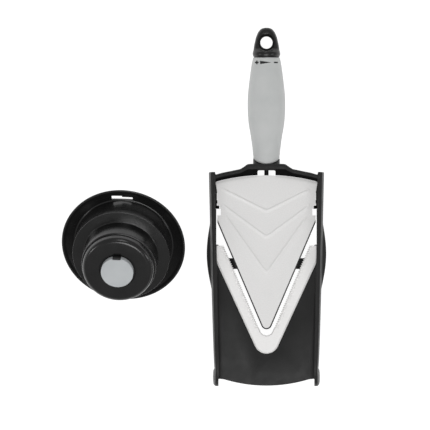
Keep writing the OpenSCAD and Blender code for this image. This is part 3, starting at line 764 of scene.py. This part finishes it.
def grip():
    """Soft grip, from the bore at its seam with the neck to its rear end."""
    rings = [[(x, seam(x, z, 2), z) for x, z in round_section(11.1, 11.1)],
             [(x, seam(x, z, 0.08), z) for x, z in round_section(11.1, 11.1)]]
    for shift, inset in [(0.08, 0.5), (0.18, 0.15), (0.5, 0)]:
        rings.append([(x, seam(x, z, shift), z) for x, z in grip_section(14.2 - inset)])
    for t in (0.3, 0.6, 0.85):
        rings.append([(x, seam(x, z, 0.5) + (251 - seam(x, z, 0.5)) * t, z) for x, z in grip_section(14.25)])
    rings += [[(x, y, z) for x, z in grip_section(curve(GRIP, y))] for y in steps(251, 356, 60)]
    rings += [[(x, y, z) for x, z in grip_section(w)] for y, w in
              [(356.8, 14.75), (357.2, 14.6), (357.4, 14.35), (357.5, 13.9)]]
    return loft(rings)


KNOB = [(357.55, 13.2), (358.0, 13.9), (358.9, 14.3), (360, 14.8), (361.4, 15.05), (363, 14.9), (365.6, 14.2),
        (369, 13.7), (372, 13.2), (375, 12.5), (379, 11.6), (382, 10.5), (385, 9.1), (387, 7.6), (388.5, 6.1),
        (389.4, 4.2), (389.8, 2.6)]
EYE_Y, EYE_R = 373.7, 6.6


KNOB_HALF_T = 8.0


def knob():
    """End knob: round where it meets the grip, then flattened towards its tip."""
    rings = [[(x, 357.55, z) for x, z in round_section(11.6, 11.6)]]
    for y in steps(357.55, 363, 12) + steps(363.6, 386, 36) + [387, 387.8, 388.5, 389, 389.4, 389.7, 389.85]:
        w = curve(KNOB, y)
        flat = smooth_step(max(0.0, min(1.0, (y - 362.5) / 6)))
        t = w + (min(KNOB_HALF_T, w) - w) * flat
        if y > 380:
            t = min(t, KNOB_HALF_T * math.sqrt(max(0.0, 1 - ((y - 378) / 12.4) ** 2)) + 0.6)
        rings.append([(x, y, z) for x, z in round_section(w, t, 2 + 0.5 * flat)])
    rings.append([(x, LENGTH - 0.002, z) for x, z in round_section(1.2, 0.9)])
    return loft(rings)


def eye_cutter():
    """The hanging eye with its dished surround, as one turned cutter."""
    half = [(EYE_R, 0), (EYE_R, 3.4), (EYE_R + 0.3, 4.2), (EYE_R + 1.1, 5.2), (EYE_R + 2.2, 6.4),
            (EYE_R + 2.9, 7.6), (EYE_R + 3.2, 9)]
    profile = [(0, -14), (EYE_R + 3.2, -14)] + [(r, -h) for r, h in reversed(half[1:])] + half
    profile += [(EYE_R + 3.2, 14), (0, 14)]
    return revolve(profile, 96, lambda r, a, h: (r * math.cos(a), EYE_Y + r * math.sin(a), AXIS_Z + h))


def build_handle():
    finish_piece(solid("soft_grip", grip(), SLICER), "grip_grey", "frame", "grip_sleeve", smooth=50)
    loop = solid("eye_knob", knob(), SLICER)
    cut(loop, [eye_cutter()], SLICER)
    finish_piece(loop, "knob_black", "spindle", "loop_knob", smooth=42)


# ---------------------------------------------------------------- pusher

# Direction of the slot, the keyway and the button's notch about the pusher's axis
KEY_TURN = math.radians(102.17)
KEYWAY = (0, 18.8, -4.8, 4.8, 43, 80)
BUTTON_NOTCH = (15.65, 30, -4.55, 4.55, 50, 80)


def turned_to_key(shell):
    c, s = math.cos(KEY_TURN), math.sin(KEY_TURN)
    return [(x * c - y * s, x * s + y * c, z) for x, y, z in shell[0]], shell[1]


def turned_shell(profile, count, segments):
    """Shell about the pusher's axis from (radius, height, rounding) corners."""
    outline = rounded([(r, h) for r, h, _ in profile], [q for _, _, q in profile], count)
    return revolve(outline, segments, about_pusher)


def pusher_shell():
    """Brim, foot ring and two tiers, with rounded edges."""
    profile = [(48, -9.8, 0.4), (50, -9.8, 0.6), (50, -6.8, 0.8), (52.3, -6.8, 1), (63, -3.2, 1),
               (66.4, -1.9, 0.8), (67.3, -1, 0.5), (67.5, 0, 0.5), (66.9, 0.65, 0.4), (65.6, 0.7, 0.6),
               (63, -0.9, 2), (52.4, -4.8, 1.6), (53, 23.2, 0.0), (52.95, 24.2, 1.1), (40.9, 24.2, 1.0),
               (40.5, 48, 1.1), (36.9, 48, 0.2), (36.9, 52, 0.2), (34.9, 52, 0.2), (34.9, 45, 1),
               (38.5, 42, 1), (38.8, 22.2, 1), (50, 22.2, 1.5), (48, -6.8, 0.5)]
    return turned_shell(profile, 4, 160)


def cap_shell():
    """Top cap, with the well that the button sits in."""
    profile = [(36.95, 48.05, 0.2), (38.9, 48.05, 0.4), (38.6, 58.5, 5.5), (19.8, 58.5, 0.5),
               (19.5, 57.0, 0.3), (16.4, 57.0, 0.2), (16.4, 44, 0.3), (18.4, 44, 0.3), (18.4, 54.5, 0.8),
               (33.9, 54.5, 1), (36.95, 52.4, 0.5)]
    return turned_shell(profile, 6, 160)


def slot_outline():
    """Stepped hanging slot in the brim, drawn with x along the radius."""
    return rounded([(53.9, -11.5), (57.6, -11.5), (57.6, 0), (59.2, 0), (59.2, 11.5), (53.9, 11.5)],
                   [0.7, 0.7, 0.2, 0.5, 0.7, 0.7], 4)


def build_pusher():
    body = solid("stepped_pusher", pusher_shell(), PUSHER)
    cut(body, [turned_to_key(prism(slot_outline(), -20, 20))], PUSHER)
    finish_piece(body, "pusher_black", "pusher", "pusher_body", smooth=32)
    cap = solid("rounded_cap", cap_shell(), PUSHER)
    cut(cap, [turned_to_key(block(*KEYWAY))], PUSHER)
    finish_piece(cap, "pusher_black", "pusher", "crown_cap", smooth=32)
    disc = [(0, 57.1, 0), (17.6, 57.1, 0.2), (17.6, 63.5, 0.8), (16.6, 63.5, 0.2), (16.0, 63.38, 0.6),
            (0, 63.38, 0)]
    button = solid("grey_button", turned_shell(disc, 4, 128), PUSHER)
    cut(button, [turned_to_key(block(*BUTTON_NOTCH))], PUSHER)
    finish_piece(button, "button_grey", "plunger", "plunger_button", smooth=32)


build_frame()
build_blade_and_ramp()
build_handle()
build_pusher()

# ---------------------------------------------------------------- CAD nodes shown as they are

BEVELS = {"ramp_carrier": 0.3, "guide_insert_left": 0.4, "guide_insert_right": 0.4, "nut_carriage": 0.4,
          "plunger_stem": 0.3, "spike_plate": 0.3, "blade_backing": 0.08, "blade_screws": 0.2,
          "plunger_screw": 0.3, "neck_screws": 0.2}
slot_of = {part["node"]: part["material_slot"] for part in frame["record"]["subparts"]}
for node, obj in frame["nodes"].items():
    obj.data.materials.clear()
    obj.data.materials.append(M[slot_of[node]])
    shade(obj, 32)
    if node in BEVELS and not obj.hide_render:
        bevel(obj, BEVELS[node], 2)

# ---------------------------------------------------------------- stage, light and camera


def area_light(name, energy, size, at, target):
    data = bpy.data.lights.new(name, "AREA")
    data.energy, data.shape, data.size = energy, "DISK", size
    obj = bpy.data.objects.new(name, data)
    obj.location = at
    obj.rotation_euler = (Vector(target) - Vector(at)).to_track_quat("-Z", "Y").to_euler()
    bpy.context.scene.collection.objects.link(obj)


floor_mesh = bpy.data.meshes.new("floor")
floor_mesh.from_pydata([(-6, -6, 0), (6, -6, 0), (6, 6, 0), (-6, 6, 0)], [], [(0, 1, 2, 3)])
floor = bpy.data.objects.new("floor", floor_mesh)
bpy.context.scene.collection.objects.link(floor)
floor_mat, _, floor_bsdf = node_material("floor_white", (0.25, 0.25, 0.25), 0.9)
floor_bsdf.inputs["Specular IOR Level"].default_value = 0.0
floor_bsdf.inputs["Emission Color"].default_value = (1, 1, 1, 1)
floor_bsdf.inputs["Emission Strength"].default_value = 0.96
floor_mesh.materials.append(floor_mat)

world = bpy.data.worlds.new("studio")
bpy.context.scene.world = world
world.use_nodes = True
background = world.node_tree.nodes["Background"]
background.inputs["Color"].default_value = (1, 1, 1, 1)
background.inputs["Strength"].default_value = 0.4

# Middle of the view, in metres from the slicer's centreline and from the tips of its feet
VIEW_X, VIEW_Y = -0.056, 0.1861
middle = Vector((SLICER.translation.x + VIEW_X, SLICER.translation.y + VIEW_Y, 0.0))
area_light("key", 17, 1.1, (0.0, -1.05, 2.1), middle)
area_light("fill", 6, 0.8, (0.0, 1.15, 1.85), middle)
for side in (-1, 1):
    area_light("rim", 5, 0.5, (side * 1.9, -0.5, 1.3), middle)

# Width of the view in metres, and the height above the table at which it has that width
FIELD, FOCUS_Z = 0.4679, 0.02
LENS, SENSOR = 1000.0, 36.0
camera_data = bpy.data.cameras.new("camera")
camera_data.lens, camera_data.sensor_width = LENS, SENSOR
camera_data.type = "PERSP"
camera = bpy.data.objects.new("camera", camera_data)
camera.location = (middle.x, middle.y, FIELD * LENS / SENSOR + FOCUS_Z)
bpy.context.scene.collection.objects.link(camera)
bpy.context.scene.camera = camera
bpy.context.scene.view_settings.view_transform = "Standard"
